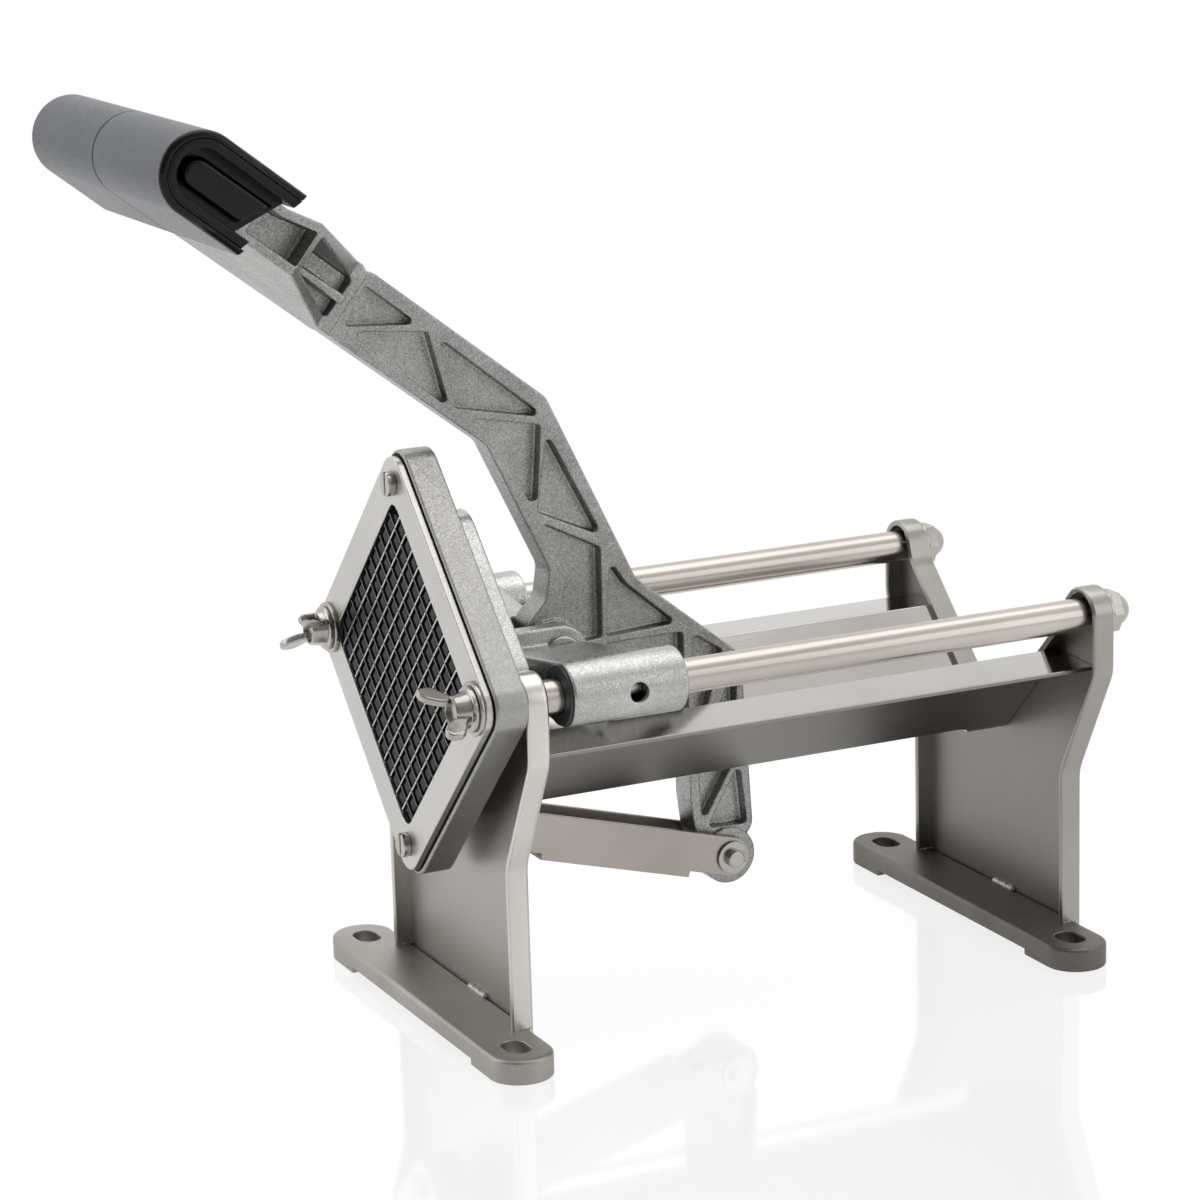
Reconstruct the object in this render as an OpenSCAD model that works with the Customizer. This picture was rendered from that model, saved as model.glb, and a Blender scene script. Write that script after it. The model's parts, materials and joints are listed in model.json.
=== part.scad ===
// Bench french fry cutter: a square pusher slides on two rods through a blade grid,
// driven by a cast truss lever. +Z up, front faces -Y, origin on the table plane at the
// centre of the four foot slots. All lengths are in millimetres.

/* [Base] */
// Distance between the front and the rear foot slots
foot_pitch = 204; // [196:1:214]
// Length of each foot bar, end to end
foot_len = 149; // [145:1:160]
// Width of each foot bar, which is also the diameter of its round ends
foot_w = 21; // [19:0.5:24]
// Thickness of the foot bars at their ends
foot_t = 8; // [6:0.5:10]
// Depth of the relief under the middle of each foot
relief_t = 2; // [1:0.5:3]
// Length of the relief under each foot
relief_len = 98; // [80:1:104]
// Distance from the end of a foot to the middle of its slot
slot_inset = 13.5; // [13:0.5:16]
// Width of the bolt slots in the feet
slot_w = 8; // [6:0.5:9]
// End to end length of the bolt slots
slot_len = 12; // [10:0.5:14]

/* [End plates] */
// Sheet thickness of the end plates
plate_t = 2; // [1.5:0.1:2.5]
// Depth of the folded rim, sheet included
rim_w = 7.8; // [7.2:0.1:9]
// Radius of the ears round the rod axes
ear_r = 9.2; // [9:0.1:10.5]
// Width of the plate where it stands on the foot
waist_w = 96.6; // [92:0.2:100]
// Drop from the rod axes to the top of the waist
waist_drop = 57; // [50:1:62]
// Drop from the rod axes to the shoulder under each ear
shoulder_drop = 19; // [16:1:24]
// Corner radius of the waist and the shoulder
bend_r = 12; // [6:1:16]

/* [Guide rods] */
// Distance between the two rod axes
rod_spread = 118; // [117:0.5:121]
// Height of the rod axes above the table
rod_height = 118.2; // [114:0.2:124]
// Diameter of the guide rods
rod_d = 11; // [10:0.2:11.6]
// Diameter of the threaded rod ends
stud_d = 8; // [7:0.2:8.4]
// Length of the front studs in front of the blade cover
stud_out = 6.8; // [6:0.2:9]

/* [Trough] */
// Sheet thickness of the trough
trough_t = 1.5; // [1:0.1:2]
// Drop from the rod axes to the folds between the walls and the flanges
fold_drop = 17; // [16:0.5:19]
// How far each flange droops from its fold to its outer edge
flange_droop = 1.3; // [0:0.1:2]
// Inner radius along the bottom of the trough
valley_r = 7; // [5:0.5:8]
// Width of the slot that the lever passes through
lever_slot_w = 13; // [12:0.5:14]
// Distance from the rear end of the lever slot to the rear plate
lever_slot_stop = 14; // [9:1:16]

/* [Blade cartridge] */
// Width of one fry, blade centre to blade centre
cell = 6.35; // [6:0.05:6.6]
// Fries along one side of the grid
cells = 12; // [12:1:12]
// Side of the square cover plate
cover_side = 100.7; // [98:0.1:102]
// Thickness of the cover plate
cover_t = 2.6; // [2:0.1:3]
// Corner radius of the cover plate
cover_r = 8; // [5:0.5:10]
// Side of the square frame casting
frame_side = 104; // [102.5:0.1:106]
// Depth of the frame casting
frame_t = 10.8; // [10.2:0.1:12]
// Corner radius of the frame casting
frame_r = 9; // [5:0.5:10]
// Thickness of the blades
blade_t = 0.6; // [0.4:0.1:0.8]
// Depth of the blades
blade_depth = 9; // [7:0.5:10]
// How far the blade edges lie behind the front of the cover
blade_back = 0.4; // [0.2:0.1:1.4]
// How far the blade ends reach into the frame
blade_seat = 2; // [1:0.2:3]
// Distance of each cover screw from the centre of the grid
cover_screw_out = 59.4; // [59:0.1:61]
// Thread diameter of the cover screws
cover_screw_d = 4.8; // [4:0.2:5]

/* [Carriage] */
// Stroke of the pusher from the closed to the open position
stroke = 143; // [120:1:143]
// Thickness of the carriage plate
carriage_t = 8.7; // [7:0.1:9]
// Corner radius of the carriage plate
carriage_r = 11; // [10.5:0.5:13]
// Gap between the carriage plate and the front end plate when closed
carriage_stand = 3.5; // [3:0.1:4.5]
// Side gap between the pusher and the grid opening
pusher_gap = 1.2; // [1:0.1:1.6]
// Width of one pusher finger
finger_w = 4.7; // [4:0.1:4.8]
// Length of the pusher fingers
finger_len = 11.7; // [10:0.1:14]
// Thickness of the pusher base
pusher_t = 3.5; // [2.5:0.5:3.5]
// Outer diameter of the carriage sleeves
sleeve_d = 20.6; // [20.2:0.2:22]
// Length of the carriage sleeves
sleeve_len = 39.3; // [37:0.1:44]
// Distance from the carriage plate to the sleeves
sleeve_stand = 4.3; // [4:0.1:6]
// Outer diameter of the sleeve bushings
bush_d = 16; // [15:0.5:17]
// Length of each sleeve bushing
bush_len = 14; // [10:1:15]
// Thickness of one clevis cheek
cheek_t = 6; // [4.5:0.5:6]
// Radius of the round end of the clevis cheeks
cheek_r = 9; // [8.5:0.25:10]
// Diameter of the lever pivot pin
pivot_d = 8; // [7:0.5:9]

/* [Lever] */
// Thickness of the lever arm
lever_t = 11; // [10:0.2:11.4]
// Thickness of the web at the bottom of the truss pockets
truss_web_t = 3; // [2:0.5:5]
// Thickness of the lever at its two pivots
boss_t = 14; // [13:0.2:14.4]
// Radius of the pivot boss
boss_r = 9.7; // [9.5:0.1:10.5]
// Horizontal distance from the lever pivot back to the link pin
crank_back = 62; // [61.6:0.1:62.6]
// Drop from the lever pivot to the link pin
crank_drop = 79.9; // [79:0.1:81]
// Radius of the link boss
crank_r = 9.6; // [9:0.1:10]
// Height of the handle axis above the lever pivot
handle_rise = 169; // [160:1:180]
// Distance of the handle axis in front of the lever pivot
handle_fwd = 129.3; // [122:1:138]
// Downward tilt of the lever arm behind the handle, in degrees
handle_tilt = 38.3; // [36:0.5:40]
// Length of the cast crossbar inside the grips
bar_len = 100; // [90:1:104]
// Overall width across the two grips
grip_w = 121; // [116:1:126]
// Radius of the round front of the grips
grip_r = 13; // [12.5:0.25:14]
// Wall of the grip skin
grip_wall = 2.2; // [1.8:0.1:2.4]
// Wall of the grip liner
liner_wall = 3; // [2.4:0.1:3.2]

/* [Link] */
// Horizontal distance between the link pins
link_back = 78.5; // [77.5:0.5:79]
// Rise from the rear link pin to the front link pin
link_rise = 21.9; // [21:0.5:24]
// Outer width of the link channel
link_w = 18.4; // [18.2:0.1:19.5]
// Sheet thickness of the link channel
link_t = 1.5; // [1.2:0.1:1.5]
// Height of the link side walls
link_h = 13.2; // [12:0.2:14]
// Diameter of the link pins
link_pin_d = 6; // [5:0.5:6.5]

/* [Hidden] */
// Distance between the slots of one foot
slot_spread = foot_len - 2 * slot_inset;

// Overrun of every cut past the face it opens
over = 1;
// Running clearance on the radius of every pin and rod
run = 0.05;
// Clearance between pieces that move past each other
free = 0.3;
// Clearance of a bolt or stud in its hole, on the radius
hole_free = 0.3;
// Segments of a full circle, and of one rounded corner
round_fn = 64;
corner_steps = 5;

root2 = sqrt(2);
rod_x = rod_spread / 2;
rod_r = rod_d / 2;
stud_r = stud_d / 2;

// Planes along Y, from the front foot to the rear plate
front_foot_y = -foot_pitch / 2;
rear_foot_y = foot_pitch / 2;
front_web = front_foot_y + foot_w / 2;
rear_web = rear_foot_y + foot_w / 2;
front_web_back = front_web + plate_t;
rear_web_back = rear_web + plate_t;
frame_back = front_web_back - rim_w;
frame_front = frame_back - frame_t;
cover_front = frame_front - cover_t;
carriage_back = front_web_back + carriage_stand;
carriage_front = carriage_back - carriage_t;
// Place of the lever pivot along the sleeves
pivot_in_sleeve = 22;
pivot_y = carriage_back + sleeve_stand + pivot_in_sleeve;

// Half sides and half diagonals of the squares that stand on a corner
grid_play = 0.4;
opening_half = cell * cells / 2 + grid_play;
opening_reach = opening_half * root2;
opening_r = 5;
pusher_half = opening_half - pusher_gap;
pusher_r = 8;
blade_shoulder_gap = 0.3;
blade_nose_r = 1.1;
blade_slot_play = 0.05;

// Washers, nuts and screws
washer_r = 7.75;
front_washer_r = 8.5;
washer_t = 1.5;
nut_across = 13;
jam_nut_t = 4.5;
jam_nut_across = 12;
cap_hex_t = 4;
cap_dome_r = 5.6;
cap_dome_t = 5.1;
screw_head_r = 4;
screw_head_t = 2.6;
screw_slot_w = 1.2;
screw_grip = 8;
wing_hub_r = 6.2;
wing_hub_t = 6.4;
wing_reach = 14;
wing_rise = 6;
wing_t = 2.6;
wing_tip_r = 3.8;
right_wing_turn = 18;
left_wing_turn = -34;
// Outline of one wing, as shares of the wing reach and the wing rise
wing_shares = [[0.28, -0.15], [0.66, -0.95], [0.98, -1.35], [0.62, -2.05], [0.28, -1.05]];

// Pusher screws
pusher_screw_r = 2;
pusher_screw_head_r = 3.5;
pusher_screw_head_t = 2.4;
pusher_screw_x = 17;
pusher_screw_z = 20;
pusher_screw_bite = 2.5;

// Clevis and arms of the carriage
cheek_gap = boss_t + 2 * free;
cheek_out = cheek_gap / 2 + cheek_t;
rivet_r = 6;
rivet_t = 2;
arm_len = 28;
arm_root_top = 3.4;
arm_root_low = 6;
arm_stub_x = 33;
oil_hole_r = 3.25;
bush_flange_r = 9.6;
bush_flange_t = 1.2;

// Link pins and their bracket
pin_r = link_pin_d / 2;
bracket_t = 2.5;
bracket_half = link_w / 2 - link_t - free;
bracket_h = 13;
bracket_nose_r = 4.9;
clip_r = 5.5;
clip_t = 0.9;
pin_head_r = 4.6;
pin_head_t = 1.6;
pin_tail = 2.4;
clip_gap = 0.25;
link_cut_rear = 14.5;
link_cut_front = 11;
link_base_drop = 2.1;
rear_pin_y = pivot_y + crank_back;
rear_pin_z = rod_height - crank_drop;
front_pin_y = rear_pin_y - link_back;
front_pin_z = rear_pin_z + link_rise;
link_len = norm([link_back, link_rise]);
link_tilt = atan2(link_rise, link_back);

// Outline of the lever above its pivot, as shares of the handle rise: front edge first
arm_front_shares = [[-0.5006, 0.7047], [-0.1201, 0.4083], [0.0010, 0.1538], [-0.0080, 0.0947], [-0.0550, 0.0462]];
arm_back_shares = [[0.1840, 0.1130], [0.0059, 0.4858], [-0.3426, 0.7615]];
// Outline of the lever below its pivot, as shares of the crank drop
leg_back_shares = [[0.8636, -0.1452], [0.9050, -0.9262]];
leg_front_shares = [[0.6640, -0.9750], [0.6308, -0.8824], [0.6133, -0.7372], [0.6108, -0.2003], [0.0000, -0.1202]];
// Corner radii of that outline, as shares of the boss radius
lever_corner_share = 0.6;
// Truss pockets above the pivot, as shares of the handle rise
upper_pocket_shares = [
    [[-0.3497, 0.7328], [-0.3985, 0.6599], [-0.2452, 0.6494]],
    [[-0.3872, 0.6492], [-0.1908, 0.4854], [-0.2290, 0.6334]],
    [[-0.2107, 0.6236], [-0.1792, 0.4846], [0.0053, 0.4473]],
    [[-0.1574, 0.4648], [-0.0805, 0.3645], [-0.0372, 0.2913], [-0.0194, 0.2903], [-0.0073, 0.4348]],
    [[0.0034, 0.4204], [-0.0196, 0.2676], [0.1134, 0.2062]],
    [[-0.0208, 0.2508], [0.0359, 0.1361], [0.0243, 0.0916], [0.0727, 0.0028], [0.1078, 0.0060],
        [0.1089, 0.1836]],
    [[0.1277, 0.1568], [0.1154, 0.0054], [0.2699, 0.0125], [0.1621, 0.1053]]];
// Truss pockets below the pivot, as shares of the crank drop
lower_pocket_shares = [
    [[0.2427, -0.0166], [0.2680, -0.1126], [0.5952, -0.1669], [0.5943, -0.0139]],
    [[0.6372, -0.0256], [0.6440, -0.5200], [0.7743, -0.1147]],
    [[0.6514, -0.5493], [0.6635, -0.8532], [0.8191, -0.5959], [0.8431, -0.1820]],
    [[0.6898, -0.8720], [0.8455, -0.6080], [0.8740, -0.8798]]];
pocket_r = 1.3;

// The handle in its own axes: +Y runs down the arm from the crossbar, +Z is square to it
grip_play = 0.1;
bar_r = grip_r - grip_wall - liner_wall - grip_play;
grip_long = 30;
grip_short = 22;
fan_flat = 31;
fan_wide = 43;
fan_end = 76;
fan_low = 11.5;
fan_shoulder = 10.2;
recess_x = 41;
recess_start = 24;
recess_wall = 3;
rib_end = 46.5;
box_half_t = 8;
box_start = 44;
box_stop = 81;
box_top = 12.5;
box_step = 11;
box_slant = 3;
box_wall = 4;
box_web_t = 8;
liner_end_t = 2;
grip_seam = 0.2;

// One corner b between a and c as arc points, rounded to radius r
function arc_corner(a, b, c, r) =
    let (u = (a - b) / norm(a - b),
        v = (c - b) / norm(c - b),
        half = atan2(abs(cross(u, v)), u * v) / 2,
        centre = b + (u + v) / norm(u + v) * r / sin(half),
        from = b + u * r / tan(half) - centre,
        to = b + v * r / tan(half) - centre,
        start = atan2(from.y, from.x),
        sweep = (180 - 2 * half) * sign(cross(from, to)))
    [for (k = [0 : corner_steps])
        centre + r * [cos(start + sweep * k / corner_steps), sin(start + sweep * k / corner_steps)]];

// A closed outline of [x, y, r] corners as points; a corner of radius 0 stays sharp
function rounded(c) =
    let (n = len(c), p = [for (q = c) [q.x, q.y]])
    [for (i = [0 : n - 1])
        each c[i].z > 0 ? arc_corner(p[(i + n - 1) % n], p[i], p[(i + 1) % n], c[i].z) : [p[i]]];

// The same counterclockwise outline moved inwards by d
function inset(c, d) =
    let (n = len(c), p = [for (q = c) [q.x, q.y]])
    [for (i = [0 : n - 1])
        let (u = (p[i] - p[(i + n - 1) % n]) / norm(p[i] - p[(i + n - 1) % n]),
            v = (p[(i + 1) % n] - p[i]) / norm(p[(i + 1) % n] - p[i]),
            m = [-u.y, u.x],
            k = [-v.y, v.x],
            q = p[i] + (m + k) * d / (1 + m * k),
            r = c[i].z == 0 ? 0 : c[i].z - d * sign(cross(u, v)))
        [q.x, q.y, r]];

// Points of a share table at a real size, each with a corner radius
function sized(shares, size, r) = [for (s = shares) [s.x * size, s.y * size, r]];

// A flat outline in X and Z, pushed along Y from y0 to y1
module along_y(y0, y1) {
    translate([0, y1, 0]) rotate([90, 0, 0]) linear_extrude(y1 - y0) children();
}

// A flat outline in Y and Z, pushed along X from x0 to x1
module along_x(x0, x1) {
    translate([x0, 0, 0]) rotate([90, 0, 90]) linear_extrude(x1 - x0) children();
}

// A round bar along Y
module bar_y(r, y0, y1) {
    translate([0, y1, 0]) rotate([90, 0, 0]) cylinder(r = r, h = y1 - y0, $fn = round_fn);
}

// A round bar along X
module bar_x(r, x0, x1) {
    translate([x0, 0, 0]) rotate([0, 90, 0]) cylinder(r = r, h = x1 - x0, $fn = round_fn);
}

// A square standing on a corner, with rounded corners
module diamond(half, r) {
    rotate(45) polygon(rounded([for (s = [[1, 1], [-1, 1], [-1, -1], [1, -1]]) [s.x * half, s.y * half, r]]));
}

// Both rod axes, left then right
module at_rods() {
    for (s = [-1, 1]) translate([s * rod_x, 0, rod_height]) children();
}

// A hexagon prism along Y
module hex_y(across, y0, y1) {
    translate([0, y1, 0]) rotate([90, 0, 0]) cylinder(d = across / cos(30), h = y1 - y0, $fn = 6);
}

// Foot bar with round ends, bolt slots and a relief under its middle
module foot(y) {
    end_x = (foot_len - foot_w) / 2;
    hole_x = (slot_len - slot_w) / 2;
    translate([0, y, 0]) difference() {
        union() {
            translate([-end_x, -foot_w / 2, 0]) cube([2 * end_x, foot_w, foot_t]);
            for (s = [-1, 1]) translate([s * end_x, 0, 0]) cylinder(d = foot_w, h = foot_t, $fn = round_fn);
        }
        for (s = [-1, 1]) translate([s * slot_spread / 2, 0, -over]) {
            for (e = [-1, 1]) translate([e * hole_x, 0, 0])
                cylinder(d = slot_w, h = foot_t + 2 * over, $fn = round_fn);
            translate([-hole_x, -slot_w / 2, 0]) cube([2 * hole_x, slot_w, foot_t + 2 * over]);
        }
        translate([-relief_len / 2, -foot_w / 2 - over, -over])
            cube([relief_len, foot_w + 2 * over, relief_t + over]);
    }
}

// Corners of an end plate, counterclockwise seen from the front
function plate_corners(notch) =
    let (outer = rod_x + ear_r,
        inner = rod_x - ear_r,
        waist = waist_w / 2,
        right = [[waist, foot_t, 0],
            [waist, rod_height - waist_drop, bend_r],
            [outer, rod_height - shoulder_drop, bend_r],
            [outer, rod_height + ear_r, ear_r],
            [inner, rod_height + ear_r, ear_r],
            [inner, rod_height + inner - notch, bend_r]])
    concat(right, [[0, rod_height - notch, valley_r]],
        [for (i = [len(right) - 1 : -1 : 0]) [-right[i].x, right[i].y, right[i].z]]);

// Pressed end plate: a web with a rim folded forwards all round, standing on its foot
module end_plate(web, notch) {
    back = web + plate_t;
    rim_front = back - rim_w;
    waist = waist_w / 2;
    difference() {
        union() {
            along_y(rim_front, back) polygon(rounded(plate_corners(notch)));
            translate([-waist, web, relief_t]) cube([2 * waist, plate_t, foot_t]);
        }
        along_y(rim_front - over, web) union() {
            polygon(rounded(inset(plate_corners(notch), plate_t)));
            translate([plate_t - waist, foot_t - over]) square([2 * (waist - plate_t), plate_t + 2 * over]);
        }
        at_rods() bar_y(stud_r + hole_free, web - over, back + over);
    }
}

// V trough with drooping flanges and the slot for the lever
module trough() {
    fold_x = opening_reach - fold_drop;
    flange_z = -fold_drop - flange_droop;
    // The corner where the outer faces of wall and flange meet
    fold_tan = tan((45 + atan2(flange_droop, rod_x - fold_x)) / 2);
    top = [[-rod_x, flange_z, 0], [-fold_x, -fold_drop, 0], [0, -opening_reach, valley_r],
        [fold_x, -fold_drop, 0], [rod_x, flange_z, 0]];
    under = [[rod_x, flange_z - trough_t, 0],
        [fold_x + trough_t * fold_tan, -fold_drop - trough_t, 0],
        [0, -opening_reach - trough_t * root2, valley_r + trough_t],
        [-fold_x - trough_t * fold_tan, -fold_drop - trough_t, 0],
        [-rod_x, flange_z - trough_t, 0]];
    color("silver") difference() {
        translate([0, 0, rod_height]) along_y(front_web_back, rear_web) polygon(rounded(concat(top, under)));
        translate([0, 0, rod_height - opening_reach - valley_r]) {
            slot_end = rear_web - lever_slot_stop - lever_slot_w / 2;
            translate([0, slot_end, 0]) cylinder(d = lever_slot_w, h = opening_reach / 2, $fn = round_fn);
            translate([-lever_slot_w / 2, front_web_back - over, 0])
                cube([lever_slot_w, slot_end - front_web_back + over, opening_reach / 2]);
        }
    }
}

// Guide rod: shouldered between the end plates, threaded at both ends
module guide_rod(side) {
    color("lightsteelblue") translate([side * rod_x, 0, rod_height]) {
        bar_y(rod_r, front_web_back, rear_web);
        bar_y(stud_r, cover_front - stud_out, front_web_back);
        bar_y(stud_r, rear_web, rear_web_back + washer_t + cap_hex_t);
    }
}

module rod_jam_nuts() {
    color("gray") at_rods() difference() {
        hex_y(jam_nut_across, front_web - jam_nut_t, front_web);
        bar_y(stud_r + run, front_web - jam_nut_t - over, front_web + over);
    }
}

module washer_y(r, y0) {
    difference() {
        bar_y(r, y0, y0 + washer_t);
        bar_y(stud_r + hole_free, y0 - over, y0 + washer_t + over);
    }
}

// Cap nuts: a hexagon with a domed end over the rear stud
module cap_nuts() {
    base = rear_web_back + washer_t;
    color("lightgray") at_rods() difference() {
        union() {
            hex_y(nut_across, base, base + cap_hex_t);
            translate([0, base + cap_hex_t, 0]) intersection() {
                sphere_cap();
                bar_y(cap_dome_r, 0, cap_dome_t);
            }
        }
        bar_y(stud_r + run, base - over, base + cap_hex_t + run);
    }
}

// The dome of a cap nut, as a sphere through its rim and its tip
module sphere_cap() {
    r = (cap_dome_r * cap_dome_r + cap_dome_t * cap_dome_t) / (2 * cap_dome_t);
    translate([0, cap_dome_t - r, 0]) sphere(r = r, $fn = round_fn);
}

// One blade, seen flat: front edge up, ends stepped into the frame, slots at the crossings
module blade_outline(slots_front) {
    reach = opening_half - blade_shoulder_gap;
    seat = opening_half + blade_seat;
    shoulder = cover_t - blade_back + blade_shoulder_gap;
    slot_deep = blade_depth / 2 + blade_slot_play;
    difference() {
        polygon(rounded([[-seat, 0, 0], [seat, 0, 0], [seat, blade_depth - shoulder, 0],
            [reach, blade_depth - shoulder, 0], [reach, blade_depth, blade_nose_r],
            [-reach, blade_depth, blade_nose_r], [-reach, blade_depth - shoulder, 0],
            [-seat, blade_depth - shoulder, 0]]));
        for (i = [1 : cells - 1])
            translate([(i - cells / 2) * cell - blade_t / 2 - blade_slot_play,
                slots_front ? blade_depth - slot_deep : -over])
                square([blade_t + 2 * blade_slot_play, slot_deep + over]);
    }
}

// All blades that run one way, tilted to one side of vertical
module blade_family(tilt, slots_front) {
    blade_y = cover_front + blade_back;
    color("whitesmoke") translate([0, 0, rod_height]) rotate([0, tilt, 0])
        for (i = [1 : cells - 1])
            translate([0, blade_y + blade_depth, (i - cells / 2) * cell - blade_t / 2])
                mirror([0, 1, 0]) linear_extrude(blade_t) blade_outline(slots_front);
}

module cover_holes(r, y0, y1) {
    at_rods() bar_y(stud_r + hole_free, y0, y1);
    for (s = [-1, 1]) translate([0, 0, rod_height + s * cover_screw_out]) bar_y(r, y0, y1);
}

// Frame casting with a seat groove for the end of every blade
module blade_frame() {
    groove_y0 = cover_front + blade_back + cover_t - blade_back;
    groove_y1 = cover_front + blade_back + blade_depth;
    groove_w = blade_t + 2 * blade_slot_play;
    seat = opening_half + blade_seat + blade_slot_play;
    color("darkgray") difference() {
        translate([0, 0, rod_height]) along_y(frame_front, frame_back) difference() {
            diamond(frame_side / 2, frame_r);
            diamond(opening_half, opening_r);
        }
        cover_holes(cover_screw_d / 2 + run, frame_front - over, frame_back + over);
        for (tilt = [45, -45]) translate([0, 0, rod_height]) rotate([0, tilt, 0])
            for (i = [1 : cells - 1])
                translate([-seat, groove_y0 - over, (i - cells / 2) * cell - groove_w / 2])
                    cube([2 * seat, groove_y1 - groove_y0 + over, groove_w]);
    }
}

module blade_cover() {
    color("gainsboro") difference() {
        translate([0, 0, rod_height]) along_y(cover_front, frame_front) difference() {
            diamond(cover_side / 2, cover_r);
            diamond(opening_half, opening_r);
        }
        cover_holes(cover_screw_d / 2 + hole_free, cover_front - over, frame_front + over);
    }
}

// Slotted screws that hold the cover on the frame
module cover_screws() {
    color("lightgray") for (s = [-1, 1]) translate([0, cover_front, rod_height + s * cover_screw_out])
        difference() {
            union() {
                bar_y(screw_head_r, -screw_head_t, 0);
                bar_y(cover_screw_d / 2, 0, cover_t + screw_grip);
            }
            translate([-screw_slot_w / 2, -screw_head_t - over, -screw_head_r - over])
                cube([screw_slot_w, screw_head_t / 2 + over, 2 * (screw_head_r + over)]);
        }
}

// Wing nut: a round hub with two ears that lean forwards
module wing_nut(side) {
    seat = cover_front - washer_t;
    color("silver") translate([side * rod_x, seat, rod_height])
        rotate([0, side < 0 ? left_wing_turn : right_wing_turn, 0]) difference() {
        union() {
            bar_y(wing_hub_r, -wing_hub_t, 0);
            for (s = [-1, 1]) translate([0, 0, -wing_t / 2]) linear_extrude(wing_t)
                polygon(rounded([for (p = wing_shares) [s * p.x * wing_reach, p.y * wing_rise, 0]]));
            for (s = [-1, 1]) translate([s * (wing_reach - wing_tip_r), -wing_rise - wing_hub_t / 2, -wing_t / 2])
                cylinder(r = wing_tip_r, h = wing_t, $fn = round_fn);
        }
        bar_y(stud_r + run, -wing_hub_t - over, over);
    }
}

// Bracket behind the front plate that holds the front link pin
module link_bracket() {
    color("silver") difference() {
        union() {
            translate([-bracket_half, front_web_back, front_pin_z - bracket_h / 2])
                cube([2 * bracket_half, bracket_t, bracket_h]);
            for (s = [-1, 1]) along_x(min(s * bracket_half, s * (bracket_half - bracket_t)),
                max(s * bracket_half, s * (bracket_half - bracket_t))) union() {
                polygon([[front_web_back, front_pin_z - bracket_h / 2], [front_pin_y, front_pin_z - bracket_nose_r],
                    [front_pin_y, front_pin_z + bracket_nose_r], [front_web_back, front_pin_z + bracket_nose_r]]);
                translate([front_pin_y, front_pin_z]) circle(r = bracket_nose_r, $fn = round_fn);
            }
        }
        translate([0, front_pin_y, front_pin_z]) bar_x(pin_r + run, -link_w, link_w);
    }
}

module front_link_pin() {
    color("lightgray") translate([0, front_pin_y, front_pin_z]) bar_x(pin_r, -bracket_half, bracket_half);
}

// Half outline of one carriage arm in X and Z, from the cheek to the sleeve
module carriage_arm(side) {
    sleeve_r = sleeve_d / 2;
    mirror([side < 0 ? 1 : 0, 0, 0]) {
        along_y(carriage_back + sleeve_stand, carriage_back + sleeve_stand + arm_len)
            polygon([[cheek_gap / 2, -arm_root_low], [rod_x, -sleeve_r], [rod_x, sleeve_r],
                [cheek_out, arm_root_top], [cheek_gap / 2, arm_root_top]]);
        along_y(carriage_back, carriage_back + sleeve_stand)
            polygon([[cheek_gap / 2, -arm_root_low],
                [arm_stub_x, -arm_root_low], [arm_stub_x, arm_root_top], [cheek_gap / 2, arm_root_top]]);
    }
}

// Carriage casting: pusher plate, clevis cheeks, arms and the two sleeves
module carriage() {
    sleeve_y0 = carriage_back + sleeve_stand;
    sleeve_r = sleeve_d / 2;
    color("darkgray") difference() {
        union() {
            translate([0, 0, rod_height]) {
                along_y(carriage_front, carriage_back) diamond(pusher_half, carriage_r);
                for (s = [-1, 1]) carriage_arm(s);
                for (s = [-1, 1]) translate([s * (cheek_gap + cheek_t) / 2, 0, 0]) {
                    translate([-cheek_t / 2, carriage_back - over, -cheek_r])
                        cube([cheek_t, pivot_y - carriage_back + over, 2 * cheek_r]);
                    translate([0, pivot_y, 0]) bar_x(cheek_r, -cheek_t / 2, cheek_t / 2);
                }
            }
            at_rods() bar_y(sleeve_r, sleeve_y0, sleeve_y0 + sleeve_len);
        }
        at_rods() bar_y(bush_d / 2 + run / 2, sleeve_y0 - over, sleeve_y0 + sleeve_len + over);
        translate([0, pivot_y, rod_height]) {
            bar_x(pivot_d / 2 + run, -cheek_out - over, cheek_out + over);
            for (s = [-1, 1]) mirror([s < 0 ? 1 : 0, 0, 0]) {
                bar_x(rivet_r + hole_free, cheek_out, cheek_out + rivet_t + hole_free);
                bar_x(oil_hole_r, rod_x, rod_x + sleeve_r + over);
            }
        }
        for (sx = [-1, 1], sz = [-1, 1]) translate([sx * pusher_screw_x, 0, rod_height + sz * pusher_screw_z])
            bar_y(pusher_screw_r + run, carriage_front - over, carriage_back + over);
    }
}

// Bushings pressed into both ends of each sleeve; the front ones have a flange
module sleeve_bushings() {
    sleeve_y0 = carriage_back + sleeve_stand;
    sleeve_y1 = sleeve_y0 + sleeve_len;
    color("dimgray") at_rods() {
        difference() {
            union() {
                bar_y(bush_flange_r, sleeve_y0 - bush_flange_t, sleeve_y0);
                bar_y(bush_d / 2, sleeve_y0 - bush_flange_t, sleeve_y0 + bush_len);
            }
            bar_y(rod_r + run, sleeve_y0 - bush_flange_t - over, sleeve_y0 + bush_len + over);
        }
        difference() {
            bar_y(bush_d / 2, sleeve_y1 - bush_len, sleeve_y1);
            bar_y(rod_r + run, sleeve_y1 - bush_len - over, sleeve_y1 + over);
        }
    }
}

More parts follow.
